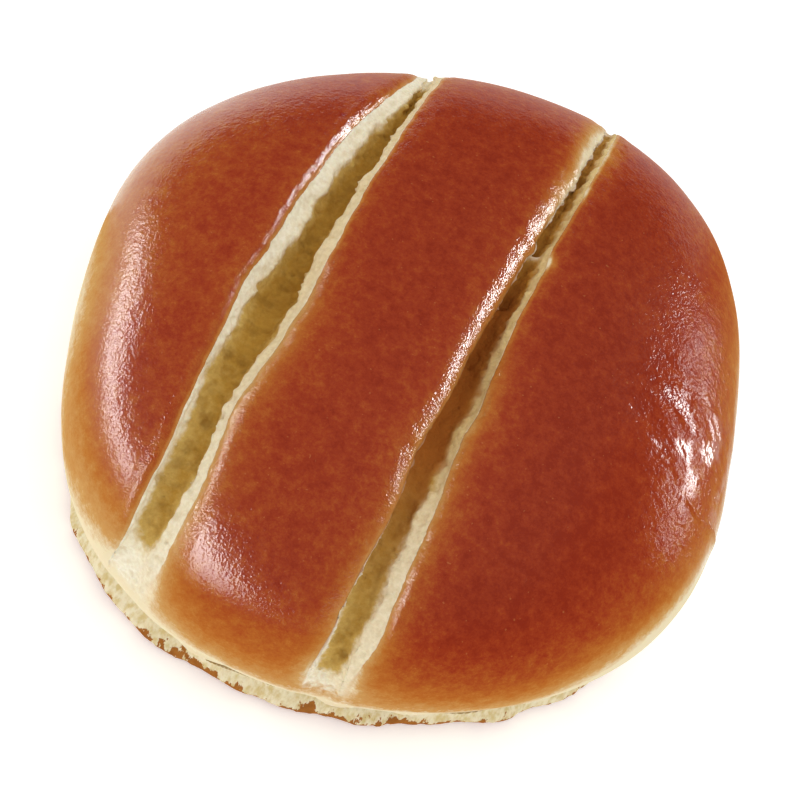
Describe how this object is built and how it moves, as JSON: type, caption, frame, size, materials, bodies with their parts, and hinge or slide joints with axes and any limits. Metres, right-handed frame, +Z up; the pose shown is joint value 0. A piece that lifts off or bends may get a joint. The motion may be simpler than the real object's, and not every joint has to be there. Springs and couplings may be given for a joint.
{
  "type": "potato bun",
  "caption": "Domed potato bun, rounded square in plan, with a glossy browned crust, open scores along the top that show pale crumb, and a pale torn foot on a flat base.",
  "frame": {"origin": "middle of the bun's box, on the flat base it stands on", "axes": "+Z up from the base to the crown, +Y along the scores from the front to the back, +X across the scores"},
  "size_m": [0.1058, 0.1106, 0.045],
  "materials": {
    "crust": "glossy egg-washed bread crust, red-brown on top, tan to cream low on the sides and cream crumb in the scores and foot"
  },
  "bodies": {
    "root": {"bun": "crust"}
  },
  "joints": []
}
